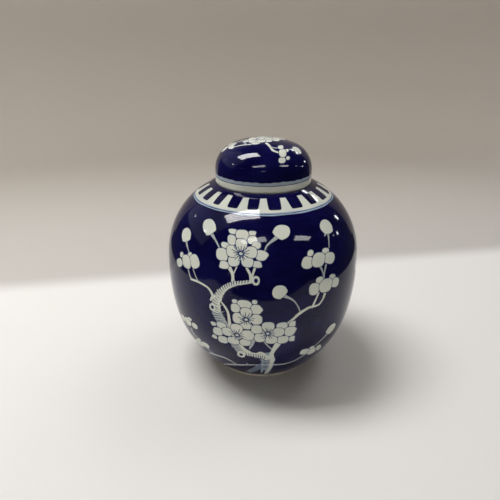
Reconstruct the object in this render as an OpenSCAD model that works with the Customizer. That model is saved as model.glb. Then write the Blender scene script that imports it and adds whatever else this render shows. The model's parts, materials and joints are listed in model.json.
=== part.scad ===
// Ginger jar with a loose domed lid.
// Origin: centre of the foot, on the surface the jar stands on. +Z is up.

/* [Jar body] */
// Widest diameter of the belly
belly_d = 162; // [132:1:196]
// Height of the widest point of the belly
belly_h = 93; // [76:0.5:112]
// Height of the flat shoulder that the lid rests on
seat_h = 164.5; // [136:0.5:198]
// Radius of the gentle curve round the widest point
belly_curve_r = 186; // [150:1:320]
// How far the gentle curve runs above the widest point, in degrees
belly_curve_up = 5.3; // [1:0.1:8]
// How far the gentle curve runs below the widest point, in degrees
belly_curve_down = 9.8; // [2:0.1:12]
// Thickness of the body wall
wall = 4.2; // [2.5:0.1:6]
// Thickness of the floor
floor_t = 5; // [3:0.1:8]

/* [Foot] */
// Outer diameter of the foot ring where it stands
foot_d = 88; // [72:1:106]
// Height of the bare outer face of the foot ring
foot_h = 2.6; // [1.6:0.1:5]
// Step from the foot ring out to the glazed body
foot_step = 1; // [0.4:0.1:2]
// Width of the foot ring
foot_ring_w = 5.5; // [4:0.1:8]
// Depth of the hollow under the floor
foot_recess = 5; // [2:0.1:8]
// Rounding of the foot ring edges
foot_edge_r = 0.8; // [0.3:0.1:1.5]

/* [Lid] */
// Outer diameter of the lid
lid_d = 77.8; // [72:0.2:94]
// Height of the lid
lid_h = 34.5; // [28:0.5:42]
// Height of the straight side of the lid
lid_side_h = 10.4; // [7:0.1:13]
// Roundness of the dome edge, from 0.5 for a pointed dome to 0.95 for a round one
lid_roundness = 0.85; // [0.5:0.01:0.95]
// Thickness of the lid wall
lid_wall = 3.6; // [2.5:0.1:5]
// Rounding of the outer edge of the lid rim
lid_rim_r = 1.5; // [0.5:0.1:1.8]
// Rounding of the inner edge of the lid rim
lid_rim_inner_r = 0.5; // [0.2:0.1:0.6]

/* [Fit of the lid on the neck] */
// Gap all round between the neck and the inside of the lid
lid_gap = 0.9; // [0.4:0.1:2]
// Height of the neck above the straight side of the lid
neck_rise = 1.6; // [0:0.1:2.5]
// Thickness of the neck wall
neck_wall = 3.4; // [2.5:0.1:5]
// Width of the flat shoulder that shows outside the lid
seat_margin = 1; // [0.4:0.1:3]

/* [Hidden] */
$fn = 180;

// Joined shapes run this far into each other
overlap = 1;
// Arcs that meet cross by this much and run on this far, so that no step is left between them
arc_lap = 0.01;
arc_run_on = 5;
// Longer than any part of the jar, for trimming
far = 1000;

belly_r = belly_d / 2;
foot_r = foot_d / 2;
lid_r = lid_d / 2;

// The neck takes its size from the inside of the lid
neck_r = lid_r - lid_wall - lid_gap;
neck_h = lid_side_h + neck_rise;
mouth_r = neck_r - neck_wall;
neck_edge_r = neck_wall / 2;

// Points where the body outline meets the flat shoulder and the foot ring
seat_point = [lid_r + seat_margin, seat_h];
foot_point = [foot_r + foot_step, foot_h];

// Unit vector at angle a in the outline plane
function dir(a) = [cos(a), sin(a)];

// Radius of the arc that runs on smoothly from a circle at angle a and ends at point p
function run_on_r(c, r, a, p) =
    let (q = p - c, along = q * dir(a))
    (q * q + r * r - 2 * r * along) / (2 * (r - along));

// Three arcs that meet smoothly: the shoulder, the belly and the tuck down to the foot
belly_c = [belly_r - belly_curve_r, belly_h];
shoulder_r = run_on_r(belly_c, belly_curve_r, belly_curve_up, seat_point);
shoulder_c = belly_c + (belly_curve_r - shoulder_r) * dir(belly_curve_up);
tuck_r = run_on_r(belly_c, belly_curve_r, -belly_curve_down, foot_point);
tuck_c = belly_c + (belly_curve_r - tuck_r) * dir(-belly_curve_down);

// The dome of the lid, above its rim: a round edge and a flatter crown that meets it smoothly
dome_h = lid_h - lid_side_h;
dome_edge_r = lid_roundness * dome_h;
dome_edge_c = [lid_r - dome_edge_r, lid_side_h];
crown_rise = dome_h + arc_lap;
crown_r = (pow(dome_edge_c.x, 2) + pow(crown_rise, 2) - pow(dome_edge_r, 2))
    / (2 * (crown_rise - dome_edge_r));
crown_c = [0, lid_h - crown_r];
crown_a = atan2(dome_edge_c.y - crown_c.y, dome_edge_c.x);

// The part of a disc between two heights, on the +X side of the axis
module band(c, r, z_low, z_high) {
    intersection() {
        translate(c) circle(r);
        translate([0, z_low]) square([far, z_high - z_low]);
    }
}

// Body outline, drawn smaller all round by inset, between two heights
module body_outline(inset, z_low, z_high) {
    join_up = belly_c.y + (belly_curve_r - inset) * sin(belly_curve_up);
    join_down = belly_c.y - (belly_curve_r - inset) * sin(belly_curve_down);
    intersection() {
        union() {
            band(tuck_c, tuck_r + arc_lap - inset, z_low, join_down + arc_run_on);
            band(belly_c, belly_curve_r - inset, join_down, join_up);
            band(shoulder_c, shoulder_r + arc_lap - inset, join_up - arc_run_on, z_high + overlap);
            translate([0, z_low]) square([min(foot_point.x, seat_point.x) - inset, z_high + overlap - z_low]);
        }
        // One cut at the full height keeps the shoulder flat and exactly where the lid rests
        square([far, z_high]);
    }
}

// Lid outline above its rim, drawn smaller all round by inset
module lid_outline(inset) {
    join = crown_c.y + (crown_r - inset) * sin(crown_a);
    square([lid_r - inset, lid_side_h]);
    square([dome_edge_c.x, join + overlap]);
    band(dome_edge_c, dome_edge_r - inset, dome_edge_c.y - overlap, join + arc_run_on);
    band(crown_c, crown_r - inset, join, far);
}

// Foot ring section with rounded lower edges
module foot_section() {
    inner_r = foot_r - foot_ring_w;
    translate([inner_r, foot_edge_r]) square([foot_ring_w, foot_recess + overlap - foot_edge_r]);
    translate([inner_r + foot_edge_r, 0]) square([foot_ring_w - 2 * foot_edge_r, foot_edge_r + overlap]);
    for (x = [inner_r + foot_edge_r, foot_r - foot_edge_r])
        translate([x, foot_edge_r]) circle(foot_edge_r);
}

// Neck section with a round lip
module neck_section() {
    translate([mouth_r, seat_h - wall])
        square([neck_wall, wall + neck_h - neck_edge_r]);
    translate([neck_r - neck_edge_r, seat_h + neck_h - neck_edge_r]) circle(neck_edge_r);
}

module jar_section() {
    difference() {
        union() {
            body_outline(0, foot_h, seat_h);
            foot_section();
            neck_section();
        }
        body_outline(wall, foot_recess + floor_t, seat_h - wall);
        translate([0, seat_h - wall - overlap]) square([mouth_r, neck_h + wall + 2 * overlap]);
        translate([0, -overlap]) square([foot_r - foot_ring_w, foot_recess + overlap]);
    }
}

// What a rounding of radius r takes off the lower corner at p, to the right or to the left of the section
module corner_waste(p, r, right) {
    translate(p) mirror([right ? 0 : 1, 0]) difference() {
        translate([-r, -overlap]) square([r + overlap, r + overlap]);
        translate([-r, r]) circle(r);
    }
}

module lid_section() {
    difference() {
        lid_outline(0);
        lid_outline(lid_wall);
        corner_waste([lid_r, 0], lid_rim_r, true);
        corner_waste([lid_r - lid_wall, 0], lid_rim_inner_r, false);
    }
}

// Belly, shoulder, neck and foot ring: one fired piece
module jar() {
    color("midnightblue") rotate_extrude() jar_section();
}

// Loose domed lid, hollow inside, resting on the flat shoulder
module lid() {
    color("navy") translate([0, 0, seat_h]) rotate_extrude() lid_section();
}

jar();
lid();
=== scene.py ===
"""A painted ginger jar with its loose domed lid, on a pale table. Lengths are in mm until MM scales them."""
import json
import math
import random

import bpy
import numpy as np
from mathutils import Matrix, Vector, kdtree
from mathutils.geometry import delaunay_2d_cdt

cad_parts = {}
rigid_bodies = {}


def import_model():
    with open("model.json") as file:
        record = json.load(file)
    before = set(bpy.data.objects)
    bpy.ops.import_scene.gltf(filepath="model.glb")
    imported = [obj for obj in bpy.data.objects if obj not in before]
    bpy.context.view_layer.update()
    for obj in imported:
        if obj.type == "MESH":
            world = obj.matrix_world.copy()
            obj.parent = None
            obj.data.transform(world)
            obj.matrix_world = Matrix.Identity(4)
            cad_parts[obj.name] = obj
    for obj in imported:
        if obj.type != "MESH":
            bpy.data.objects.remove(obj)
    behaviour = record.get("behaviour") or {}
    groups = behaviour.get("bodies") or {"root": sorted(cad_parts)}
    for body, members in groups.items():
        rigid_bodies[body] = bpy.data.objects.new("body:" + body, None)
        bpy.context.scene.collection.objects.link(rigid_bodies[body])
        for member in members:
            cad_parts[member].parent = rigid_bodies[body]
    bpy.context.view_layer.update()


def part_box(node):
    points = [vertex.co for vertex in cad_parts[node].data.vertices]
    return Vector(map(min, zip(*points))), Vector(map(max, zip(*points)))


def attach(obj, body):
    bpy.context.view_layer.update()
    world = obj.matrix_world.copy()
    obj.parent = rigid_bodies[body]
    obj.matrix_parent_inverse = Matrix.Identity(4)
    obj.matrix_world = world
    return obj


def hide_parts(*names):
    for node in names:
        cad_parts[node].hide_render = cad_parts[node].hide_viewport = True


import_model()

MM = 0.001

# Driving sizes of the jar
jar_low, jar_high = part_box("jar")
lid_low, lid_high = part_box("lid")
belly_r = round((jar_high.x - jar_low.x) / 2 / MM, 1)
lid_r = round((lid_high.x - lid_low.x) / 2 / MM, 1)
seat_h = round(lid_low.z / MM, 1)
lid_h = round((lid_high.z - lid_low.z) / MM, 1)
belly_h = 93.0
belly_curve_r = 186.0
belly_curve_up = math.radians(5.3)
belly_curve_down = math.radians(9.8)
wall = 4.2
foot_r, foot_h, foot_step = 44.0, 2.6, 1.0
foot_ring_w, foot_recess, floor_t, foot_edge_r = 5.5, 5.0, 5.0, 0.8
lid_side_h, lid_roundness, lid_wall = 10.4, 0.85, 3.6
lid_rim_r, lid_rim_inner_r = 1.5, 0.5
lid_gap, neck_rise, neck_wall, seat_margin = 0.9, 1.6, 3.4, 1.0
seat_edge_r = 0.5
neck_r = lid_r - lid_wall - lid_gap
neck_h = lid_side_h + neck_rise
mouth_r = neck_r - neck_wall

# Painting: half width of a painted edge, and width of the darker line round a petal
SOFT = 0.16
RIM = 0.78
SPIN_STEPS = 160
# Length of the straight steps a brush line is drawn in, and how deep under a later mark an edge is dropped
BRUSH_STEP = 1.1
BURIED = 0.45
# Marks end this far from the ends of a sheet, and the even grid keeps this far from their edges
SHEET_MARGIN = 0.3
GRID_CLEAR = 1.1
# Closest spacing of points on the flat sheet, in mm, and the gaps that are closed when parts are joined
SAME_SPOT = 1e-4
WELD_TURNED = 0.003 * MM
WELD_SEAM = 0.005 * MM
SMOOTH_ANGLE = math.radians(40)
# Where each turned part lies on the bake map: left, low, width, height, and whether it stands upright there
UNDERSIDE_MAP = (0.004, 0.93, 0.992, 0.066, False)
INSIDE_MAP = (0.004, 0.73, 0.992, 0.19, False)
LID_INSIDE_MAP = (0.825, 0.004, 0.171, 0.992, True)
# Middles of the white collar teeth, in degrees from the front, and the cobalt finger that holds the seam
TEETH = [-65.7, -48.4, -33.4, -16.2, 0.3, 18.9, 37.5, 53.9] + [72.3 + 17.08 * k for k in range(13)]
SEAM = math.radians(97.92)
GRID = 3.0

# What a mark is painted with: shares of bare white, line blue and pale wash; all zero is the cobalt ground
WHITE, LINE, WASH, GROUND = np.eye(4)[:, :3]
TINT = 0.5 * WHITE + 0.48 * WASH


# ---------------------------------------------------------------- outlines of the pots

def polar(centre, radius, angle):
    return centre[0] + radius * math.cos(angle), centre[1] + radius * math.sin(angle)


def run_on_r(centre, radius, angle, point):
    """Radius of the arc that runs on smoothly from a circle at an angle and ends at a point."""
    q = (point[0] - centre[0], point[1] - centre[1])
    along = q[0] * math.cos(angle) + q[1] * math.sin(angle)
    return (q[0] ** 2 + q[1] ** 2 + radius ** 2 - 2 * radius * along) / (2 * (radius - along))


class Outline:
    """Arcs and straights that run on from each other, as (radius, height), measured along their length."""

    def __init__(self, *parts):
        self.parts, self.length = [], 0.0
        for part in parts:
            run = part[1] * (part[3] - part[2]) if len(part) == 4 else math.dist(*part)
            self.parts.append((self.length, run, part))
            self.length += run

    def at(self, s):
        """Radius, height and outward normal at each length."""
        s = np.asarray(s, float)
        found = [np.zeros(s.shape) for _ in range(4)]
        for start, run, part in self.parts:
            here = s >= start if start else np.full(s.shape, True)
            if len(part) == 4:
                centre, radius, first, _ = part
                angle = first + (s - start) / radius
                nr, nz = np.cos(angle), np.sin(angle)
                values = centre[0] + radius * nr, centre[1] + radius * nz, nr, nz
            else:
                (r0, z0), (r1, z1) = part
                t = (s - start) / run
                up = np.ones(s.shape)
                values = r0 + t * (r1 - r0), z0 + t * (z1 - z0), up * (z1 - z0) / run, up * (r0 - r1) / run
            found = [np.where(here, new, old) for new, old in zip(values, found)]
        return found

    def normals(self, r, z):
        """Outward normals at points that lie on the outline."""
        steps = np.arange(0, self.length, 0.25)
        line_r, line_z, nr, nz = self.at(steps)
        tree = kdtree.KDTree(len(steps))
        for k, point in enumerate(zip(line_r, line_z)):
            tree.insert((*point, 0), k)
        tree.balance()
        s = np.array([steps[tree.find((a, b, 0))[1]] for a, b in zip(r, z)])
        line_r, line_z, nr, nz = self.at(s)
        s = np.clip(s + (r - line_r) * -nz + (z - line_z) * nr, 0, self.length)
        return self.at(s)[2:]


foot_point = (foot_r + foot_step, foot_h)
seat_point = (lid_r + seat_margin, seat_h)
belly_c = (belly_r - belly_curve_r, belly_h)
shoulder_r = run_on_r(belly_c, belly_curve_r, belly_curve_up, seat_point)
shoulder_c = polar(belly_c, belly_curve_r - shoulder_r, belly_curve_up)
tuck_r = run_on_r(belly_c, belly_curve_r, -belly_curve_down, foot_point)
tuck_c = polar(belly_c, belly_curve_r - tuck_r, -belly_curve_down)


def angle_of(centre, point):
    return math.atan2(point[1] - centre[1], point[0] - centre[0])


jar_outline = Outline(
    (tuck_c, tuck_r, angle_of(tuck_c, foot_point), -belly_curve_down),
    (belly_c, belly_curve_r, -belly_curve_down, belly_curve_up),
    (shoulder_c, shoulder_r, belly_curve_up, angle_of(shoulder_c, seat_point)),
)

dome_h = lid_h - lid_side_h
dome_edge_r = lid_roundness * dome_h
dome_edge_c = (lid_r - dome_edge_r, seat_h + lid_side_h)
crown_r = (dome_edge_c[0] ** 2 + dome_h ** 2 - dome_edge_r ** 2) / (2 * (dome_h - dome_edge_r))
crown_c = (0.0, seat_h + lid_h - crown_r)
crown_a = angle_of(crown_c, dome_edge_c)
lid_outline = Outline(
    ((lid_r, seat_h), (lid_r, seat_h + lid_side_h)),
    (dome_edge_c, dome_edge_r, 0.0, crown_a),
    (crown_c, crown_r, crown_a, math.pi / 2),
)


# ---------------------------------------------------------------- the flat sheets that are painted

class BodySheet:
    """The outside of the jar laid flat: across is the angle from the front times belly_r, up the length."""

    outline = jar_outline
    start, end = 0.0, jar_outline.length - seat_edge_r

    def lay(self, x, s, turn=0.0):
        r = self.outline.at(s)[0]
        return np.stack([(x / r + turn) * belly_r, s], -1)

    def stretch(self, s):
        return float(self.outline.at(s)[0]) / belly_r

    def unlay(self, spots):
        return spots[:, 0] / belly_r, spots[:, 1]

    def frame_points(self):
        """The edge of the sheet, in turned steps round its ends and even steps up the seam, and the grid."""
        left, right = (SEAM - 2 * math.pi) * belly_r, SEAM * belly_r
        across = np.linspace(left, right, SPIN_STEPS + 1)
        up = np.linspace(self.start, self.end, int(self.end / GRID) + 1)
        edge = [(u, s) for s in (self.start, self.end) for u in across]
        edge += [(u, s) for u in (left, right) for s in up[1:-1]]
        inner = [(u + (k % 2) * GRID / 2, s) for k, s in enumerate(up[1:-1]) for u in across[1:-1]]
        return edge, inner

    def ring_line(self, edge):
        """A line right round the jar at the lengths that edge gives for each angle."""
        theta = np.linspace(SEAM - 2 * math.pi, SEAM, 2 * SPIN_STEPS + 1)
        return np.stack([theta * belly_r, edge(theta)], -1), False

    def map_place(self, spots):
        u = (spots[:, 0] / belly_r - SEAM) / (2 * math.pi) + 1
        return np.stack([0.004 + 0.992 * u, 0.004 + 0.716 * spots[:, 1] / self.end], -1)


class LidSheet:
    """The outside of the lid laid flat as a disc, seen from above, with the crown at its middle."""

    outline = lid_outline
    start, end = lid_rim_r, lid_outline.length

    def lay(self, x, s, turn=0.0):
        theta = x / self.outline.at(s)[0] + turn
        out = self.end - s
        return np.stack([out * np.sin(theta), -out * np.cos(theta)], -1)

    def stretch(self, s):
        return 1.0

    def unlay(self, spots):
        return np.arctan2(spots[:, 0], -spots[:, 1]), self.end - np.hypot(spots[:, 0], spots[:, 1])

    def frame_points(self):
        out = self.end - self.start
        theta = SEAM + np.arange(SPIN_STEPS) * 2 * math.pi / SPIN_STEPS
        edge = [(out * math.sin(a), -out * math.cos(a)) for a in theta]
        steps = np.arange(-out, out, 2.2)
        inner = [(x + (k % 2) * 1.1, y) for k,
                 y in enumerate(steps) for x in steps if math.hypot(x + 1.1, y) < out - 2]
        return edge, inner

    def ring_line(self, edge):
        theta = np.linspace(0, 2 * math.pi, 240, endpoint=False)
        out = self.end - edge(theta)
        return np.stack([out * np.sin(theta), -out * np.cos(theta)], -1), True

    def map_place(self, spots):
        return 0.405 + spots / (self.end - self.start) * 0.4


# ---------------------------------------------------------------- brush marks

class Patch:
    """A closed painted shape, in true mm: the sheet's across measure times its stretch there."""

    def __init__(self, points, stretch, fill, rim=0.0):
        self.scale = np.array([stretch, 1.0])
        self.points, self.fill, self.rim = points * self.scale, fill, rim
        ahead = np.roll(self.points, -1, 0)
        if ((ahead[:, 0] - self.points[:, 0]) * (ahead[:, 1] + self.points[:, 1])).sum() > 0:
            self.points = self.points[::-1]
        self.box = self.points.min(0) / self.scale, self.points.max(0) / self.scale

    def near(self, spots, margin):
        low, high = self.box
        return ((spots > low - margin / self.scale) & (spots < high + margin / self.scale)).all(1)

    def distance(self, spots):
        """How far each spot is outside the shape; less than nothing inside it."""
        p = spots[:, None] * self.scale
        a, b = self.points, np.roll(self.points, -1, 0)
        ab = b - a
        t = np.clip(((p - a) * ab).sum(-1) / (ab * ab).sum(-1), 0, 1)
        gap = np.linalg.norm(p - a - t[..., None] * ab, axis=-1).min(1)
        rise = np.where(ab[:, 1] == 0, 1e-9, ab[:, 1])
        crossed = (a[:, 1] > p[..., 1]) != (b[:, 1] > p[..., 1])
        crossed &= p[..., 0] < a[:, 0] + ab[:, 0] * (p[..., 1] - a[:, 1]) / rise
        return np.where(crossed.sum(1) % 2 == 1, -gap, gap)

    def lines(self, out):
        """The outline moved outwards by a distance, in the sheet's own measures."""
        along = np.roll(self.points, -1, 0) - np.roll(self.points, 1, 0)
        side = np.stack([along[:, 1], -along[:, 0]], -1)
        side /= np.linalg.norm(side, axis=1)[:, None] + 1e-9
        return [((self.points + out * side) / self.scale, True)]


class Stroke(Patch):
    """A brush stroke along a curve, with its width at each point."""

    def __init__(self, points, widths, stretch, fill, rim=0.0):
        self.scale = np.array([stretch, 1.0])
        self.points, self.half, self.fill, self.rim = points * self.scale, widths / 2, fill, rim
        reach = self.half.max()
        self.box = (self.points.min(0) - reach) / self.scale, (self.points.max(0) + reach) / self.scale

    def distance(self, spots):
        p = spots[:, None] * self.scale
        a, b = self.points[:-1], self.points[1:]
        ab = b - a
        t = np.clip(((p - a) * ab).sum(-1) / (ab * ab).sum(-1), 0, 1)
        gap = np.linalg.norm(p - a - t[..., None] * ab, axis=-1)
        return (gap - self.half[:-1] - t * (self.half[1:] - self.half[:-1])).min(1)

    def lines(self, out):
        along = np.gradient(self.points, axis=0)
        along /= np.linalg.norm(along, axis=1)[:, None] + 1e-9
        side = np.stack([-along[:, 1], along[:, 0]], -1)
        half = (self.half + out)[:, None]
        caps = []
        for k, way in ((-1, 1), (0, -1)):
            turn = np.linspace(math.pi / 2, -math.pi / 2, 5)[1:-1, None]
            reach = self.half[k] + out
            caps.append(self.points[k] + reach * way * (np.cos(turn) * along[k] + np.sin(turn) * side[k]))
        loop = np.concatenate([self.points + half * side, caps[0], (self.points - half * side)[::-1],
            caps[1]])
        return [(loop / self.scale, True)]


class Ring:
    """A band right round the pot between two lengths, each given as a function of the angle."""

    rim = 0.0

    def __init__(self, sheet, low, high, fill):
        self.sheet, self.low, self.high, self.fill = sheet, low, high, fill

    def near(self, spots, margin):
        theta, s = self.sheet.unlay(spots)
        return (s > self.low(theta) - margin) & (s < self.high(theta) + margin)

    def distance(self, spots):
        theta, s = self.sheet.unlay(spots)
        return np.maximum(self.low(theta) - s, s - self.high(theta))

    def lines(self, out):
        edges = (lambda a: self.low(a) - out, lambda a: self.high(a) + out)
        return [self.sheet.ring_line(edge) for edge in edges]


def smooth_run(points, step):
    """A curve through given points, in short even steps. Every column is carried along."""
    p = np.array(points, float)
    p = np.concatenate([[2 * p[0] - p[1]], p, [2 * p[-1] - p[-2]]])
    run = []
    for a, b, c, d in zip(p, p[1:], p[2:], p[3:]):
        count = max(2, int(math.dist(b[:2], c[:2]) / step))
        for t in np.arange(count) / count:
            curve = 2 * b + (c - a) * t + (2 * a - 5 * b + 4 * c - d) * t ** 2
            curve = curve + (3 * b - a - 3 * c + d) * t ** 3
            run.append(curve / 2)
    return np.array(run + [p[-2]])


class Painter:
    """Keeps the marks of one sheet in the order that they are painted."""

    def __init__(self, sheet, seed):
        self.sheet, self.marks, self.hand, self.turn = sheet, [], random.Random(seed), 0.0

    def shape(self, x, s, fill, rim=0.0):
        x, s = np.asarray(x, float), np.asarray(s, float)
        laid = self.sheet.lay(x, s, self.turn)
        self.marks.append(Patch(laid, self.sheet.stretch(float(s.mean())), fill, rim))

    def oval(self, x, s, rx, rs, tilt=0.0, fill=WHITE, rim=0.0, square=2.3, shake=0.05, dents=()):
        """A rounded shape, a little square and a little uneven, as a brush leaves it.

        Each dent is a place round the edge in degrees, how far it stands out there, and its width in degrees.
        """
        count = max(14, int(5.6 * (rx + rs)))
        a = np.arange(count) * 2 * math.pi / count
        lobes = [(k, self.hand.uniform(-1, 1) * shake / k, self.hand.uniform(0, 6.3)) for k in (2, 3, 5)]
        uneven = 1 + sum(size * np.sin(k * a + phase) for k, size, phase in lobes)
        for place, out, width in dents:
            off = (np.degrees(a) - place + tilt + 180) % 360 - 180
            uneven = uneven + out * np.exp(-(off / width) ** 2)
        reach = uneven * (np.abs(np.cos(a)) ** square + np.abs(np.sin(a)) ** square) ** (-1 / square)
        px, ps = rx * reach * np.cos(a), rs * reach * np.sin(a)
        c, d = math.cos(math.radians(tilt)), math.sin(math.radians(tilt))
        self.shape(x + px * c - ps * d, s + px * d + ps * c, fill, rim)

    def petal(self, x, s, rx, rs, tilt=0.0, *tips):
        """One petal; tips are the places round its edge, in degrees, where it comes to a point."""
        dents = [(tip, 0.26, 20) for tip in tips]
        self.oval(x, s, rx * 1.04, rs * 1.04, tilt, WHITE, RIM, square=2.6, shake=0.1, dents=dents)

    def stroke(self, points, widths, fill=WHITE, rim=0.0, shake=0.08):
        """A brush stroke through (across, up) points; widths is one width or one for each point."""
        widths = widths if isinstance(widths, (list, tuple)) else [widths] * len(points)
        run = smooth_run([(*p, w) for p, w in zip(points, widths)], BRUSH_STEP)
        swell = [1 + self.hand.uniform(-1, 1) * shake for _ in run]
        laid = self.sheet.lay(run[:, 0], run[:, 1], self.turn)
        stretch = self.sheet.stretch(float(run[:, 1].mean()))
        self.marks.append(Stroke(laid, run[:, 2] * swell, stretch, fill, rim))

    def hatch(self, points, widths, gap=1.75, thick=0.72, reach=(-0.5, 0.3), lean=0.35, fill=LINE * 0.75):
        """Short lines across a branch; reach is where they start and end as shares of its width."""
        run = smooth_run([(*p, w) for p, w in zip(points, widths)], gap)
        along = np.gradient(run[:, :2], axis=0)
        along /= np.linalg.norm(along, axis=1)[:, None]
        side = np.stack([-along[:, 1], along[:, 0]], -1)
        for k in range(1, len(run) - 1):
            spot, w = run[k, :2], run[k, 2]
            ends = []
            for f in reach:
                off = side[k] * w * (f + self.hand.uniform(-0.07, 0.07))
                ends.append(spot + off + along[k] * lean * w * f)
            taper = [thick, thick * 0.9, thick * 0.4]
            self.stroke([ends[0], (ends[0] + ends[1]) / 2 + along[k] * 0.25, ends[1]], taper, fill)

    def knot(self, x, s, rx, rs, hole=0.42):
        """A cut branch end: a white ring with a dark eye."""
        self.oval(x, s, rx, rs, fill=WHITE)
        self.oval(x, s, rx * hole + 0.25, rs * hole + 0.25, fill=LINE)
        self.oval(x, s, rx * hole - 0.2, rs * hole - 0.2, fill=GROUND)

    def stamens(self, x, s, reach=6.0, count=15, first=90.0):
        """The middle of a blossom: fine blue lines that spread from a ringed white eye."""
        for k in range(count):
            a = math.radians(first + k * 360 / count + self.hand.uniform(-6, 6))
            far = reach * self.hand.uniform(0.72, 1.1)
            ends = [(x + d * math.cos(a), s + d * math.sin(a)) for d in (1.4, (1.4 + far) / 2, far)]
            self.stroke(ends, [0.95, 0.6, 0.5], LINE, shake=0.02)
        self.oval(x, s, 2.15, 1.95, fill=LINE)
        self.oval(x, s, 1.25, 0.95, fill=WHITE)

    def bud(self, x, s, rx, rs, tilt, *stalk, width=1.25):
        """A round bud on its stalk, which starts at the bud."""
        widths = [width * 1.75, width] + [width * 0.72] * (len(stalk) - 2)
        self.stroke(stalk, widths, TINT)
        way = math.degrees(math.atan2(stalk[0][1] - s, stalk[0][0] - x))
        dents = [(way, -0.08, 26), (way - 46, 0.08, 11), (way + 46, 0.08, 11)]
        self.oval(x, s, rx, rs, tilt, WHITE, RIM * 0.6, square=2.15, shake=0.06, dents=dents)

    def petals(self, *rows):
        """Several petals, painted in the order of their rows."""
        for row in rows:
            self.petal(*row)

    def twig(self, *points, width=1.5, fill=TINT):
        self.stroke(points, [width * 0.87] * len(points), fill)

    def ring(self, low, high, fill, waver=0.1, waves=(3, 7, 16)):
        """A band right round the pot, whose edges waver a little."""
        def edge(level):
            waviness = [(k, self.hand.uniform(0.4, 1) * waver, self.hand.uniform(0, 6.3)) for k in waves]
            return lambda a: level + sum(size * np.sin(k * a + phase) for k, size, phase in waviness)
        self.marks.append(Ring(self.sheet, edge(low), edge(high), fill))


def paint_at(marks, spots):
    """Shares of white, line blue and wash at each spot, after every mark is painted in its turn."""
    paint = np.zeros((len(spots), 3))
    for mark in marks:
        near = np.flatnonzero(mark.near(spots, 1.5))
        if not len(near):
            continue
        gap = mark.distance(spots[near])
        if mark.rim:
            cover = np.clip((mark.rim - gap) / (mark.rim - SOFT), 0, 1)[:, None]
            paint[near] += (LINE - paint[near]) * cover
        cover = np.clip(0.5 - gap / (2 * SOFT), 0, 1)[:, None]
        paint[near] += (mark.fill - paint[near]) * cover
    return paint


# ---------------------------------------------------------------- the decoration

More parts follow.
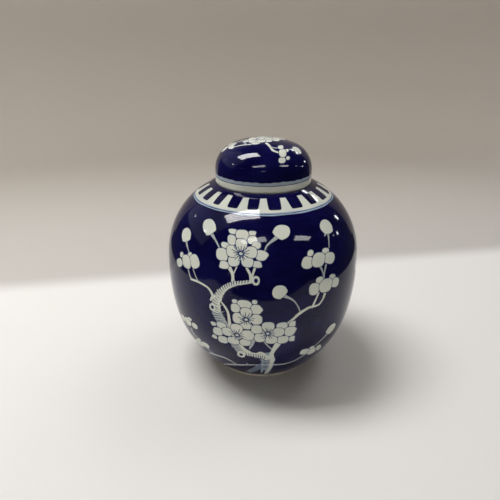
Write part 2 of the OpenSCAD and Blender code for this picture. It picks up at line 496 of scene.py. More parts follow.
def prunus(p):
    """The flowering prunus: trunk, twigs, three blossoms low down, one above, and buds on both sides."""
    # Twigs and stalks behind the blossoms
    p.twig((-61, 119), (-59.5, 115), (-57.5, 112.5), (-52, 112.6), width=1.6)
    p.stroke([(-58, 112.3), (-50, 112.6), (-42, 111), (-38.5, 108), (-36.2, 103)],
             [1.6, 1.7, 1.6, 1.9, 2.6], WHITE)
    p.twig((-55.5, 121.5), (-53, 116.8), (-50.3, 112.8), width=1.1)
    p.stroke([(-23, 129), (-21, 125), (-20.7, 119)], [2.8, 2.1, 2.6], WHITE)
    p.twig((-18, 130.5), (-20.3, 125.5), width=1.0, fill=WHITE)
    p.stroke([(-10.8, 130.5), (-8.5, 126.5), (-7.6, 121.5)], [1.7, 1.8, 2.2], WHITE)
    p.stroke([(-5, 131), (-6.3, 127), (-7.5, 123.5)], [1.8, 1.6, 1.9], WHITE)

    # Upper trunk
    upper = [(-7.5, 121), (-14, 119.6), (-20, 118), (-26.5, 114), (-31.5, 107.5), (-34.3, 101), (-34.6, 94)]
    upper_w = [2.6, 3, 3.6, 4.5, 5.6, 6.8, 7.2]
    middle = [(-34.8, 97), (-34, 91), (-31, 85), (-27.5, 79)]
    middle_w = [7.6, 8.2, 8, 7.5]
    p.stroke([(-29.8, 101.5), (-27, 98), (-25, 94), (-24.2, 88), (-23.6, 80)], [1.2, 1.7, 1.9, 2.2, 3],
             WHITE)
    p.stroke(middle, middle_w, TINT)
    p.stroke([(-31.3, 103.5), (-32.3, 107), (-33, 111)], [3.4, 2, 0.7], WHITE)
    p.stroke(upper, upper_w, WHITE)
    p.hatch(upper, upper_w, gap=1.8, reach=(-0.5, 0.22))
    p.hatch(middle, middle_w, gap=1.75, reach=(-0.5, 0.3), thick=0.62)
    p.stroke([(-39, 101), (-37.3, 104), (-34, 105.5)], [1.5, 2, 1.5], WHITE)
    p.knot(-37.8, 95.2, 2.6, 3.3)
    p.knot(-4.2, 121.8, 2.7, 3.5)

    # Foot of the trunk, its roots and the low branches
    p.stroke([(-0.5, 38.5), (-10, 36.5), (-20, 32.8), (-28, 27), (-33, 20), (-36, 10)],
             [1.2, 2, 2.8, 2.8, 3, 3.4], TINT)
    p.stroke([(-11.5, 39.6), (-10.5, 37.2)], [0.8, 1.6], TINT)
    p.stroke([(-20, 33), (-25, 38), (-31, 40.5), (-40, 39), (-48, 36)], [2.2, 1.9, 2.2, 2.6, 1.2], TINT)
    p.stroke([(-40, 39), (-44, 41.5), (-48, 45.5)], [1.9, 1.7, 1.7], TINT)
    p.stroke([(9, 38), (14, 37.2), (20, 37), (27, 39), (33, 42.5), (38, 46)], [2.6, 2, 2, 1.6, 1.6, 1.6],
             TINT)
    p.stroke([(57.5, 61.3), (52, 57.5), (47, 54.5), (44, 52)], [2.2, 1.7, 1.5, 1.5], TINT)
    p.stroke([(-64, 61.5), (-64.5, 57.5), (-60, 54.5), (-55.5, 53)], [2, 1.9, 1.6, 2.2], TINT)
    root = [(5.2, 54), (5.5, 47), (5.2, 38), (4.6, 30), (3.8, 22), (3, 8)]
    p.stroke([(1.5, 40), (-3, 31), (-8, 22), (-13, 10)], [4, 6.5, 6.5, 6], WASH * 0.42)
    p.stroke(root, [6, 9, 9, 8.5, 8, 8], WASH * 0.66 + WHITE * 0.1)
    p.stroke([(2.6, 27), (2.4, 20), (1.6, 8)], [0.8, 2.2, 4], WASH * 0.15)
    p.stroke([(7.8, 56), (8.3, 50), (9, 46.5), (8.2, 40), (7.6, 34), (6, 26), (4.6, 18), (2.5, 10)],
             [2.8, 3.6, 3.6, 2.6, 3.4, 2.8, 2.2, 1.6], WHITE)
    p.stroke([(0.5, 38.6), (3, 38), (6, 38.5)], [1, 1.8, 1.6], WHITE)
    p.stroke([(1.5, 45), (4, 43.4), (6.5, 43.6)], [0.6, 1.2, 1.2], TINT)
    p.hatch(root[:4], [6, 8, 8, 8], gap=2.0, reach=(-0.42, 0.2), thick=0.6)
    low = [(-20.5, 65), (-17.5, 59), (-15, 55)]
    p.stroke(low, [6.5, 6.8, 6], TINT)
    p.hatch(low, [6.5, 6.8, 6], gap=1.7, reach=(-0.4, 0.3), thick=0.62)
    bridge = [(-15.5, 54.5), (-10, 54.5), (-4, 53.3), (1, 51.8), (4.5, 50)]
    p.stroke(bridge, [4.6, 5, 5.4, 6.2, 6.5], WHITE)
    p.stroke([(-15.8, 64.5), (-13, 59.5), (-9, 56.5)], [2.2, 3, 3], WHITE)
    p.stroke([(-3, 55), (-0.5, 57), (2.5, 55)], [2.4, 2, 2.4], WHITE)
    p.hatch(bridge, [4.6, 5, 5.4, 6.2, 6.5], gap=1.65, reach=(-0.48, 0.28), lean=-0.3)
    p.knot(-15.6, 52, 3.2, 3.8, hole=0.4)
    p.stroke([(12.8, 67), (9.7, 60), (8.2, 55), (8.2, 50)], [4.6, 3.6, 3.2, 3.4], WHITE)
    p.stroke([(2, 70), (5, 65), (7.8, 61.3)], [1.3, 1.1, 1.2], TINT)
    p.stroke([(-6, 71), (-7.5, 65), (-8.8, 60.8)], [3.6, 2.6, 1], TINT)

    # Branch to the right with its two clusters
    p.stroke([(19.5, 86), (23.5, 89.2), (28.5, 93.5), (36, 96.8), (42, 96.6), (45.5, 97.5)],
             [2.2, 2.1, 2.4, 1.9, 1.6, 1.3], WHITE)
    p.stroke([(43.5, 107), (41, 101.5), (38.6, 96.5)], [1.7, 1.6, 1.9], WHITE)
    p.stroke([(49.5, 104.5), (48, 100.5), (44.5, 96.8)], [2.4, 1.6, 1.5], WHITE)
    p.stroke([(43.5, 128), (46, 123.5), (47.7, 118)], [2, 1.3, 1], TINT)
    p.stroke([(49.2, 127), (48, 122), (47.8, 117)], [1.7, 1.1, 0.9], TINT)

    # Buds
    p.bud(-41.5, 155, 6, 5.8, 35, (-38, 150), (-34.5, 146.5), (-31.3, 142))
    p.bud(13.5, 156, 6, 5.2, -8, (9.5, 152), (5, 148.5), (2.4, 145.5), (1.8, 142.5), width=1.5)
    p.bud(-66.5, 142.8, 6.6, 4.9, 22, (-64.8, 138.5), (-62.3, 134.5), (-59.2, 131))
    p.bud(51.5, 153.6, 7.3, 4.6, -35, (52.5, 149), (52.7, 144), (52.6, 139), width=1.2)
    p.bud(12.6, 113, 5.2, 5.2, 0, (16.5, 109.5), (21.5, 106.5), (24.8, 103), (27.3, 98.5), (28.8, 94.5),
          width=1.3)
    p.bud(62.3, 65.2, 6.2, 5, 10, (58.5, 61.8), (57, 60.8), width=1.7)

    # Clusters of half-open flowers: the small ones behind first
    p.petals(
        (-59, 130.6, 2.4, 1.8, 15), (-70, 127.3, 2.5, 1.9, 20), (-73.5, 120, 4.7, 2.9, 30),
        (-54, 127.2, 4.9, 4.7, 30), (-63.4, 124.2, 4.9, 4.9, 10), (35.3, 138.5, 2.3, 2.1, -10),
        (49, 137.3, 3.2, 1.9, -12), (33, 132.2, 4.5, 4, -15), (53, 131.3, 5.2, 3.8, -18),
        (42.4, 132.4, 5.3, 5, -12), (43.7, 117, 3.1, 2.6, 0), (56.3, 115.9, 3.3, 2.4, -20),
        (39.5, 111.2, 4.4, 4.4, -10), (60.3, 110.5, 4, 3.7, -20), (50.2, 111.3, 5.9, 5.3, -8),
        (-68.4, 67.2, 5, 3.9, 25), (-78, 65.2, 5, 3.2, 35), (-58.7, 68, 3.5, 2.8, 0),
        (-64.5, 72.4, 2.6, 1.6, 10), (-49.2, 48.8, 4.5, 3.4, 10), (-57.5, 45.3, 5, 4.4, 25),
        (-65, 40.5, 4.6, 4, 35), (-56.2, 52, 2.4, 1.7, 20), (42.6, 51.6, 2.7, 2.4, 0),
        (36, 50, 4.2, 3.6, -15), (43.8, 46, 4.6, 4.2, -15), (51, 46.5, 2.9, 4.8, 25))

    # Blossom high up: petals at the back, then in front, then its middle
    p.petals(
        (-21, 155.2, 2.8, 1.8, 0, 160), (-7.3, 155, 2.4, 1.8, 0, 30), (-14.3, 153.5, 4.4, 3.5),
        (-22, 149, 3, 3.5), (-26.8, 144.7, 2.9, 2), (-7, 150.3, 3.1, 2.9), (-4.2, 146.6, 3, 2.3),
        (-29.2, 137.8, 4.4, 4.2), (-27.3, 130.8, 3.3, 2.6, 0, 215), (-0.8, 139.8, 3.9, 3.4, 0, 5),
        (-3.7, 133.5, 2.9, 2.3, 0, -30))
    p.petals(
        (-20.2, 134.4, 4, 3.4), (-10.3, 134.6, 4, 3.2), (-21.8, 141.2, 3.7, 3.8), (-7.6, 141.8, 3.8, 3.7),
        (-14.8, 146.8, 3.9, 3.7))
    p.oval(-15, 140, 4.4, 4.2, fill=WHITE)
    p.stamens(-15, 140.2, 6.4, 16)

    # Three blossoms low down
    p.petals(
        (-19.5, 104.3, 2, 1.5), (-5, 105.2, 1.8, 1.6), (-12.3, 102.8, 4.9, 3.2), (-19.2, 98.7, 3.3, 3.4),
        (-3.9, 99, 3.6, 3.9, 0, 0), (-37.6, 80, 2.1, 1.7, 0, 160, 250),
        (-37.4, 66.4, 2.1, 1.9, 0, 110, 200), (-30.8, 80.5, 3.8, 2.8), (-34.2, 73.3, 4, 3.9),
        (-30, 66, 4.1, 3.6), (23, 84.5, 2.5, 2.6, 0, 45), (23.3, 70.3, 2.1, 2.5, 0, 40, -40),
        (15.3, 84.3, 4, 2.9), (21.5, 78, 4.1, 4.2, 0, 20), (16.2, 70.5, 4.3, 3.6))
    p.petals(
        (-17.6, 90.2, 3.6, 4.4), (-3.6, 90.4, 4, 4.2), (-11.3, 84, 4.2, 2.9), (-11.2, 96.2, 4.1, 3.5),
        (-26.2, 75.5, 4, 3.8), (-21.4, 67.6, 4.5, 3.7), (-12.1, 67.4, 4, 3.4), (-10.2, 75.2, 4.5, 4.7),
        (-18.5, 80.8, 4.4, 3.7), (-3.3, 81.3, 4.1, 3.8), (-1.2, 73.2, 3.7, 4), (7.6, 71.1, 4.3, 3.7),
        (12.9, 78.4, 4.1, 3.9), (5, 84.3, 4.3, 3.9))
    for x, s in ((-11.2, 89.8), (-18.3, 74), (4.8, 77.6)):
        p.oval(x, s, 4.2, 4, fill=WHITE)
        p.stamens(x, s)


def side_sprig(p, x):
    """A small sprig that fills the field between two trees."""
    p.twig((x - 2, 60), (x + 1, 72), (x - 1, 84), (x + 2, 96), (x + 1, 108), width=1.8, fill=WHITE)
    p.twig((x + 0.5, 78), (x + 7, 84), (x + 11, 91), width=1.4)
    p.twig((x + 1, 92), (x - 6, 98), (x - 9, 105), width=1.4)
    p.bud(x + 12, 95, 4.6, 4.2, 30, (x + 11, 92), (x + 10, 89))
    p.bud(x - 10, 109, 4.6, 4.4, -20, (x - 9.5, 106), (x - 8, 102))
    for dx, s, rx, rs in ((-4.6, 117.5, 3, 2.6), (5.2, 117.5, 3, 2.6), (-4.2, 111.5, 3.9, 3.6),
        (5, 111.8, 3.9, 3.6), (0.5, 113, 4.6, 4.6)):
        p.petal(x + dx, s, rx, rs)
    p.bud(x - 3, 56, 4.6, 4, 10, (x - 2.5, 59), (x - 2, 62))


def jar_painting():
    p = Painter(BodySheet(), 11)
    for turn in (0.0, -math.pi):
        p.turn = turn
        prunus(p)
    for turn in (math.radians(-92), math.radians(78)):
        p.turn = turn
        side_sprig(p, 0.0)

    # Collar: a blue line, a white ring and white teeth between cobalt fingers
    p.turn = 0.0
    p.ring(168.7, 171.4, WASH, 0.12)
    p.ring(169.7, 170.25, LINE, 0.08)
    p.ring(170.9, 184.6, WHITE, 0.12)
    for tooth, following in zip(TEETH, TEETH[1:] + [TEETH[0] + 360]):
        middle = math.radians((tooth + following) / 2)
        half_gap = math.radians((following - tooth) / 2)
        turns = [turn for turn in (-2 * math.pi, 0) if abs(middle + turn - SEAM + math.pi) < math.pi + 0.01]
        finger(p, middle, half_gap, turns)
    p.ring(186.5, 200.0, GROUND, 0.0)
    return p


def finger(p, middle, half_gap, turns):
    """One cobalt finger of the collar, rounded at its lower end and wider towards the lid."""
    half_low = half_gap - math.radians(4.05 + p.hand.uniform(-0.25, 0.25))
    half_high = half_gap - math.radians(2.85 + p.hand.uniform(-0.2, 0.2))
    low, high, corner = 173.4 + p.hand.uniform(-0.25, 0.25), 187.0, 1.5
    r_low = float(jar_outline.at(low)[0])
    side, s = [], []
    for a in np.linspace(-90, 0, 5):
        side.append(half_low - (corner - corner * math.cos(math.radians(a))) / r_low)
        s.append(low + corner + corner * math.sin(math.radians(a)))
    for t in np.linspace(0, 1, 12)[1:]:
        side.append(half_low + (half_high - half_low) * t ** 0.8)
        s.append(low + corner + (high - low - corner) * t)
    side, s = np.array(side), np.array(s)
    theta = middle + np.concatenate([-side[::-1], side])
    s = np.concatenate([s[::-1], s])
    for turn in turns:
        p.shape((theta + turn) * jar_outline.at(s)[0], s, GROUND)


def lid_painting():
    p = Painter(LidSheet(), 5)
    # Twigs and buds on the side towards the front
    p.stroke([(2, 46), (4, 42), (5.4, 38), (7.2, 34.2), (11, 31.8)], [2.2, 1.9, 1.7, 2, 1.8], WHITE)
    p.twig((5.2, 39.5), (8, 38), (10.5, 37.3), width=1.5)
    p.twig((17.5, 33), (21, 33.4), (25.5, 33.4), width=1.1)
    p.stroke([(-5, 45), (-11, 42.5), (-17, 40), (-22, 37.5), (-27, 34.6)], [2, 1.6, 1.5, 1.3, 1.2], WHITE)
    p.twig((-14, 41.2), (-18, 43.5), (-23, 44.5), width=1.2)
    p.oval(-32, 33.6, 5, 2.2, 8, WHITE, RIM * 0.5)
    p.oval(30.6, 31.2, 5.9, 2.7, -33, WHITE, RIM * 0.5)
    p.petals(
        (18.7, 33, 1.5, 1.6), (19, 25.8, 1.5, 1.4), (13.5, 38, 2.3, 2.6), (14, 24.6, 2.6, 2.2),
        (14.7, 31, 3, 3.7))
    disc_blossom(p, -4.5, -6.0, 8)
    disc_blossom(p, 5.5, 1.5, 40)
    disc_twigs(p)
    # Bands above the rim: pale wash with an uneven edge, a fine line, and white below it
    p.ring(0.0, 8.2, WASH * 0.72 + WHITE * 0.22, 0.14, (5, 11, 23, 37))
    p.ring(0.0, 6.0, LINE * 0.85 + WASH * 0.15, 0.05)
    p.ring(0.0, 5.4, WHITE, 0.05)
    return p


def disc_mark(p, x, y, rx, ry, fill=WHITE, rim=RIM):
    """A petal placed by where it lies on the crown, seen from above."""
    count = 22
    a = np.arange(count) * 2 * math.pi / count
    lobes = [(k, p.hand.uniform(-1, 1) * 0.07 / k, p.hand.uniform(0, 6.3)) for k in (2, 3, 5)]
    uneven = 1 + sum(size * np.sin(k * a + phase) for k, size, phase in lobes)
    points = np.stack([x + rx * uneven * np.cos(a), y + ry * uneven * np.sin(a)], -1)
    p.marks.append(Patch(points, 1.0, fill, rim))


def disc_stroke(p, points, width, fill=WHITE):
    run = smooth_run([(*q, width) for q in points], BRUSH_STEP)
    p.marks.append(Stroke(run[:, :2], run[:, 2], 1.0, fill, 0.0))


def disc_blossom(p, x, y, first):
    """A blossom seen from above, with a second row of petals behind."""
    for k in range(5):
        a = math.radians(first + 36 + 72 * k)
        disc_mark(p, x + 8.6 * math.cos(a), y + 8.2 * math.sin(a), 3.4, 3.1)
    for k in range(5):
        a = math.radians(first + 72 * k)
        disc_mark(p, x + 5.2 * math.cos(a), y + 5.2 * math.sin(a), 3.7, 3.5)
    disc_mark(p, x, y, 3.2, 3.2, rim=0.0)
    for k in range(10):
        a = math.radians(first + 36 * k + p.hand.uniform(-6, 6))
        disc_stroke(p, [(x + d * math.cos(a), y + d * math.sin(a)) for d in (1.4, 3, 4.8)], 0.5, LINE)
    disc_mark(p, x, y, 1.6, 1.6, LINE, 0.0)
    disc_mark(p, x, y, 0.9, 0.9, WHITE, 0.0)


def disc_twigs(p):
    """Twigs and buds on the far side of the crown."""
    for turn in (48, 105, 185):
        a = math.radians(turn)
        way, side = np.array([math.cos(a), math.sin(a)]), np.array([-math.sin(a), math.cos(a)])
        at = [way * d + side * o for d, o in ((13, 0), (19, 1.5), (25, 0.5), (30, 2.5))]
        run = smooth_run([(*q, 1.5) for q in at], BRUSH_STEP)
        p.marks.insert(0, Stroke(run[:, :2], run[:, 2], 1.0, WHITE))
        for d, o, size in ((32.5, 3.5, 3.4), (27, -3.2, 2.4), (24.5, 4.6, 2.6)):
            spot = way * d + side * o
            disc_mark(p, spot[0], spot[1], size, size * 0.9, rim=RIM * 0.6)


# ---------------------------------------------------------------- meshes

def read(items, field, width=1, kind=float):
    """One value, or one row of values, for each item of a mesh."""
    values = np.zeros(len(items) * width, kind)
    items.foreach_get(field, values)
    return values.reshape(-1, width) if width > 1 else values


def join_pieces(main, other):
    """Joins the second piece into the first."""
    bpy.ops.object.select_all(action="DESELECT")
    main.select_set(True)
    other.select_set(True)
    bpy.context.view_layer.objects.active = main
    bpy.ops.object.join()


def painted_skin(name, painter):
    """The painted outside as a mesh whose edges follow every mark, with the paint kept at its points."""
    sheet, marks = painter.sheet, painter.marks
    edge, inner = sheet.frame_points()
    low, high = np.array(edge).min(0), np.array(edge).max(0)
    points, links = list(edge), []
    for k, mark in enumerate(marks):
        offsets = (-SOFT, SOFT, mark.rim) if mark.rim else (-SOFT, SOFT)
        for out in offsets:
            for line, closed in mark.lines(out):
                _, s = sheet.unlay(line)
                seen = (s > sheet.start + SHEET_MARGIN) & (s < sheet.end - SHEET_MARGIN)
                seen &= (line[:, 0] > low[0] - 1e-6) & (line[:, 0] < high[0] + 1e-6)
                for later in marks[k + 1:]:
                    close = np.flatnonzero(seen & later.near(line, 0.0))
                    if len(close):
                        seen[close] &= later.distance(line[close]) > -BURIED
                first, count = len(points), len(line)
                points += [tuple(q) for q in line]
                ends = range(count) if closed else range(count - 1)
                pairs = [(a, (a + 1) % count) for a in ends]
                links += [(first + a, first + b) for a, b in pairs if seen[a] and seen[b]]
    used = sorted({a for link in links for a in link} | set(range(len(edge))))
    place = {old: new for new, old in enumerate(used)}
    points = [points[a] for a in used]
    links = [(place[a], place[b]) for a, b in links]
    tree = kdtree.KDTree(len(points))
    for k, q in enumerate(points):
        tree.insert((*q, 0), k)
    tree.balance()
    points += [q for q in inner if tree.find((*q, 0))[2] > GRID_CLEAR and low[0] < q[0] < high[0]]
    laid = delaunay_2d_cdt([Vector(q) for q in points], links, [], 0, SAME_SPOT, False)
    spots = np.array([tuple(q) for q in laid[0]])
    theta, s = sheet.unlay(spots)
    r, z, _, _ = sheet.outline.at(s)
    places = np.stack([r * np.sin(theta), -r * np.cos(theta), z], -1) * MM
    mesh = bpy.data.meshes.new(name)
    mesh.from_pydata([tuple(q) for q in places], [], [tuple(f) for f in laid[2]])
    paint = mesh.attributes.new("paint", "FLOAT_COLOR", "POINT")
    shares = np.concatenate([paint_at(marks, spots), np.zeros((len(spots), 1))], 1)
    paint.data.foreach_set("color", shares.ravel())
    mesh.attributes.new("painted", "INT", "FACE").data.foreach_set("value",
        np.ones(len(mesh.polygons), int))
    corners = read(mesh.loops, "vertex_index", kind=int)
    mesh.uv_layers.new(name="OFBake").data.foreach_set("uv", sheet.map_place(spots)[corners].ravel())
    skin = bpy.data.objects.new(name, mesh)
    bpy.context.scene.collection.objects.link(skin)
    return skin


def rounded(corners):
    """A line through (radius, height, rounding) corners, each rounded by its arc."""
    line = [corners[0][:2]]
    for before, (r, z, fillet), after in zip(corners, corners[1:], corners[2:]):
        here = np.array([r, z])
        back, ahead = np.array(before[:2]) - here, np.array(after[:2]) - here
        back, ahead = back / np.linalg.norm(back), ahead / np.linalg.norm(ahead)
        half = math.acos(np.clip(back @ ahead, -1, 1)) / 2
        if not fillet or half > math.radians(85):
            line.append((r, z))
            continue
        centre = here + (back + ahead) / np.linalg.norm(back + ahead) * fillet / math.sin(half)
        first = here + back * fillet / math.tan(half) - centre
        last = here + ahead * fillet / math.tan(half) - centre
        sweep = math.atan2(first[0] * last[1] - first[1] * last[0], first @ last)
        steps = max(3, int(abs(math.degrees(sweep)) / 12))
        for t in np.linspace(0, sweep, steps + 1):
            c, d = math.cos(t), math.sin(t)
            line.append((centre[0] + c * first[0] - d * first[1], centre[1] + d * first[0] + c * first[1]))
    return line + [corners[-1][:2]]


def turned_part(name, line, finish, bake_box):
    """A part turned round the axis from a line of (radius, height), with its finish kept at its points."""
    bpy.ops.object.select_all(action="DESELECT")
    line = np.array(line)
    run = np.concatenate([[0], np.cumsum(np.linalg.norm(np.diff(line, axis=0), axis=1))])
    mesh = bpy.data.meshes.new(name)
    places = [(r * math.sin(SEAM) * MM, -r * math.cos(SEAM) * MM, z * MM) for r, z in line]
    mesh.from_pydata(places, [(k, k + 1) for k in range(len(line) - 1)], [])
    shares = np.array([finish(r, z) for r, z in line])
    mesh.attributes.new("paint", "FLOAT_COLOR", "POINT").data.foreach_set("color", shares.ravel())
    mesh.attributes.new("run", "FLOAT", "POINT").data.foreach_set("value", run / run[-1])
    part = bpy.data.objects.new(name, mesh)
    bpy.context.scene.collection.objects.link(part)
    bpy.context.view_layer.objects.active = part
    part.select_set(True)
    bpy.ops.object.mode_set(mode="EDIT")
    bpy.ops.mesh.select_all(action="SELECT")
    bpy.ops.mesh.spin(steps=SPIN_STEPS, angle=2 * math.pi, center=(0, 0, 0), axis=(0, 0, 1))
    bpy.ops.mesh.select_all(action="SELECT")
    bpy.ops.mesh.remove_doubles(threshold=WELD_TURNED)
    bpy.ops.object.mode_set(mode="OBJECT")
    part.select_set(False)
    mesh = part.data
    along = read(mesh.attributes["run"].data, "value")
    low_u, low_v, wide, high, upright = bake_box
    uv = mesh.uv_layers.new(name="OFBake").data
    for face in mesh.polygons:
        middle = math.atan2(face.center.x, -face.center.y)
        for corner in face.loop_indices:
            q = mesh.vertices[mesh.loops[corner].vertex_index]
            off_axis = math.hypot(q.co.x, q.co.y) > MM * 0.01
            angle = math.atan2(q.co.x, -q.co.y) if off_axis else middle
            angle = middle + (angle - middle + math.pi) % (2 * math.pi) - math.pi
            share = ((middle - SEAM) % (2 * math.pi) + angle - middle) / (2 * math.pi)
            u, v = (along[q.index], share) if upright else (share, along[q.index])
            uv[corner].uv = (low_u + wide * u, low_v + high * v)
    mesh.attributes.remove(mesh.attributes["run"])
    mesh.attributes.new("painted", "INT", "FACE")
    return part


def closed_pot(name, skin, part, outline):
    """Joins the painted outside to the turned rest, closes the seams and sets the outside's true normals."""
    join_pieces(skin, part)
    skin.name = skin.data.name = name
    bpy.ops.object.mode_set(mode="EDIT")
    bpy.ops.mesh.select_all(action="SELECT")
    bpy.ops.mesh.remove_doubles(threshold=WELD_SEAM)
    bpy.ops.mesh.normals_make_consistent(inside=False)
    bpy.ops.object.mode_set(mode="OBJECT")
    bpy.ops.object.shade_smooth_by_angle(angle=SMOOTH_ANGLE)
    mesh = skin.data
    corners = read(mesh.corner_normals, "vector", 3)
    of_vertex = read(mesh.loops, "vertex_index", kind=int)
    places = read(mesh.vertices, "co", 3) / MM
    r = np.hypot(places[:, 0], places[:, 1])
    painted = read(mesh.attributes["painted"].data, "value", kind=int)
    of_face = np.repeat(painted, [len(f.vertices) for f in mesh.polygons]).astype(bool)
    nr, nz = np.zeros(len(r)), np.zeros(len(r))
    on_skin = np.unique(of_vertex[of_face])
    nr[on_skin], nz[on_skin] = outline.normals(r[on_skin], places[on_skin, 2])
    way = places[:, :2] / np.maximum(r, 1e-6)[:, None]
    true = np.stack([way[:, 0] * nr, way[:, 1] * nr, nz], -1)
    corners[of_face] = true[of_vertex[of_face]]
    mesh.attributes.remove(mesh.attributes["painted"])
    mesh.normals_split_custom_set([tuple(n) for n in corners])
    return skin


def jar_rest():
    """Everything but the painted outside: flat seat, neck, inside, and the foot with its hollow."""
    join_up = belly_c[1] + (belly_curve_r - wall) * math.sin(belly_curve_up)
    join_down = belly_c[1] - (belly_curve_r - wall) * math.sin(belly_curve_down)
    floor_h = foot_recess + floor_t

    def inner_r(z):
        centre, radius = (shoulder_c, shoulder_r) if z > join_up else (belly_c, belly_curve_r)
        centre, radius = (tuck_c, tuck_r) if z < join_down else (centre, radius)
        return centre[0] + math.sqrt((radius - wall) ** 2 - (z - centre[1]) ** 2)

    ceiling = seat_h - wall
    edge_r, edge_z = [float(v) for v in jar_outline.at(jar_outline.length - seat_edge_r)[:2]]
    rise = np.linspace(0, math.pi, 34)
    inside = [(inner_r(z), z, 0) for z in (ceiling + floor_h) / 2 + (ceiling - floor_h) / 2 * np.cos(rise)]
    inside[0] = (*inside[0][:2], 3.0)
    inside[-1] = (*inside[-1][:2], 4.0)
    top = [(edge_r, edge_z, 0), (*seat_point, 0.45), (lid_r - 0.5, seat_h, 0), (lid_r - 0.6, seat_h, 0),
           (neck_r + 0.9, seat_h, 0), (neck_r, seat_h, 0.6),
           (neck_r, seat_h + neck_h, neck_wall / 2 - 0.02),
           (mouth_r, seat_h + neck_h, neck_wall / 2 - 0.02), (mouth_r, ceiling, 1.8)]
    foot_inner = foot_r - foot_ring_w
    foot = [(0, foot_recess, 0), (foot_inner - 12, foot_recess, 0), (foot_inner, foot_recess, 1.2),
            (foot_inner, 0, foot_edge_r),
            (foot_r, 0, foot_edge_r), (foot_r, foot_h, 0.3), (*foot_point, 0)]

    def finish(r, z):
        bare_foot = z < foot_h - 0.05 and r > foot_inner - 0.3
        bare_lip = z > seat_h + neck_h - 2.2
        bare_seat = abs(z - seat_h) < 0.02 and neck_r + 0.7 < r < lid_r - 0.55
        if bare_foot or bare_lip or bare_seat:
            return (1.0, 0.0, 0.0, 1.0)
        if z < foot_h + 0.05 and r > foot_r - 0.5:
            return (0.0, 0.0, 0.0, 0.0)
        if abs(z - seat_h) < 0.3 and r >= lid_r - 0.55:
            return (0.0, 0.0, 0.0, 0.0)
        return (1.0, 0.0, 0.0, 0.0)

    underside = turned_part("jar_underside", rounded(foot), finish, UNDERSIDE_MAP)
    return underside, turned_part("jar_inside", rounded(top + inside + [(0, floor_h, 0)]), finish,
        INSIDE_MAP)


def lid_rest():
    """The rounded rim of the lid and the whole of its inside."""
    inner_edge = dome_edge_r - lid_wall
    dome = [polar(dome_edge_c, inner_edge, a) for a in np.linspace(0, crown_a, 12)]
    dome += [polar(crown_c, crown_r - lid_wall, a) for a in np.linspace(crown_a, math.pi / 2, 14)[1:]]
    inner = lid_r - lid_wall
    rim = [(lid_r, seat_h + lid_rim_r + 0.001, 0), (lid_r, seat_h, lid_rim_r),
           (inner, seat_h, lid_rim_inner_r),
           (inner, seat_h + lid_side_h, 0)]
    line = rounded(rim) + [(max(r, 0.0), z) for r, z in dome[1:]]
    line[-1] = (0.0, line[-1][1])

    def finish(r, z):
        bare = z < seat_h + 0.1 and r < lid_r - 1.2
        return (1.0, 0.0, 0.0, 1.0 if bare else 0.0)

    return turned_part("lid_inside", line, finish, LID_INSIDE_MAP)


# ---------------------------------------------------------------- materials

class Wire:
    """A shader socket that can be written in sums; each operator adds one Math node."""

    def __init__(self, shade, socket):
        self.shade, self.socket = shade, socket

    def math(self, operation, *values):
        return self.shade.add("ShaderNodeMath", {"operation": operation}, dict(enumerate(values)))

    def __add__(self, other):
        return self.math("ADD", self, other)

    def __radd__(self, other):
        return self.math("ADD", other, self)

    def __sub__(self, other):
        return self.math("SUBTRACT", self, other)

    def __rsub__(self, other):
        return self.math("SUBTRACT", other, self)

    def __mul__(self, other):
        return self.math("MULTIPLY", self, other)

    def __rmul__(self, other):
        return self.math("MULTIPLY", other, self)


class Shade:
    """One material's node tree, with a method that adds any node."""

    def __init__(self, name):
        self.material = bpy.data.materials.new(name)
        self.material.use_nodes = True
        self.tree = self.material.node_tree
        self.skin = next(n for n in self.tree.nodes if n.type == "BSDF_PRINCIPLED")

    def add(self, kind, settings, values, out=0):
        """Adds a node, sets its settings, then its sockets by name or number, and gives one output."""
        node = self.tree.nodes.new(kind)
        for key, value in settings.items():
            if key == "stops":
                self.set_stops(node.color_ramp, value)
            else:
                setattr(node, key, value)
        for key, value in values.items():
            self.put(node.inputs[key], value)
        return Wire(self, node.outputs[out])

    def put(self, socket, value):
        if isinstance(value, Wire):
            self.tree.links.new(value.socket, socket)
        else:
            socket.default_value = value

    def set_stops(self, ramp, stops):
        while len(ramp.elements) < len(stops):
            ramp.elements.new(1.0)
        for element, (place, grey) in zip(ramp.elements, stops):
            element.position, element.color = place, (grey, grey, grey, 1)

    def mix(self, share, low, high):
        """A colour between two, by a share from 0 to 1."""
        colour = [(*c, 1) if isinstance(c, tuple) and len(c) == 3 else c for c in (low, high)]
        return self.add("ShaderNodeMix", {"data_type": "RGBA"}, {0: share, 6: colour[0], 7: colour[1]}, 2)

    def noise(self, at, scale, detail=2.0, rough=0.5, twist=0.0):
        values = {"Vector": at, "Scale": scale, "Detail": detail, "Roughness": rough, "Distortion": twist}
        return self.add("ShaderNodeTexNoise", {}, values)

    def step(self, value, low, high):
        """0 below low, 1 above high, smooth between."""
        settings = {"interpolation_type": "SMOOTHSTEP"}
        return self.add("ShaderNodeMapRange", settings, {"Value": value, "From Min": low, "From Max": high})


COBALT_DEEP = (0.0015, 0.0009, 0.0270)
COBALT_LIGHT = (0.0040, 0.0036, 0.0520)
COBALT_LINE = (0.0190, 0.0400, 0.1050)
COBALT_WASH = (0.2700, 0.3450, 0.4500)
GLAZE_WHITE = (0.6350, 0.6500, 0.5750)
GLAZE_WHITE_THICK = (0.5600, 0.5950, 0.5450)
BARE_PASTE = (0.6800, 0.6400, 0.5500)
BARE_PASTE_DARK = (0.5400, 0.4900, 0.4000)
GLAZE_SHINE = 0.21


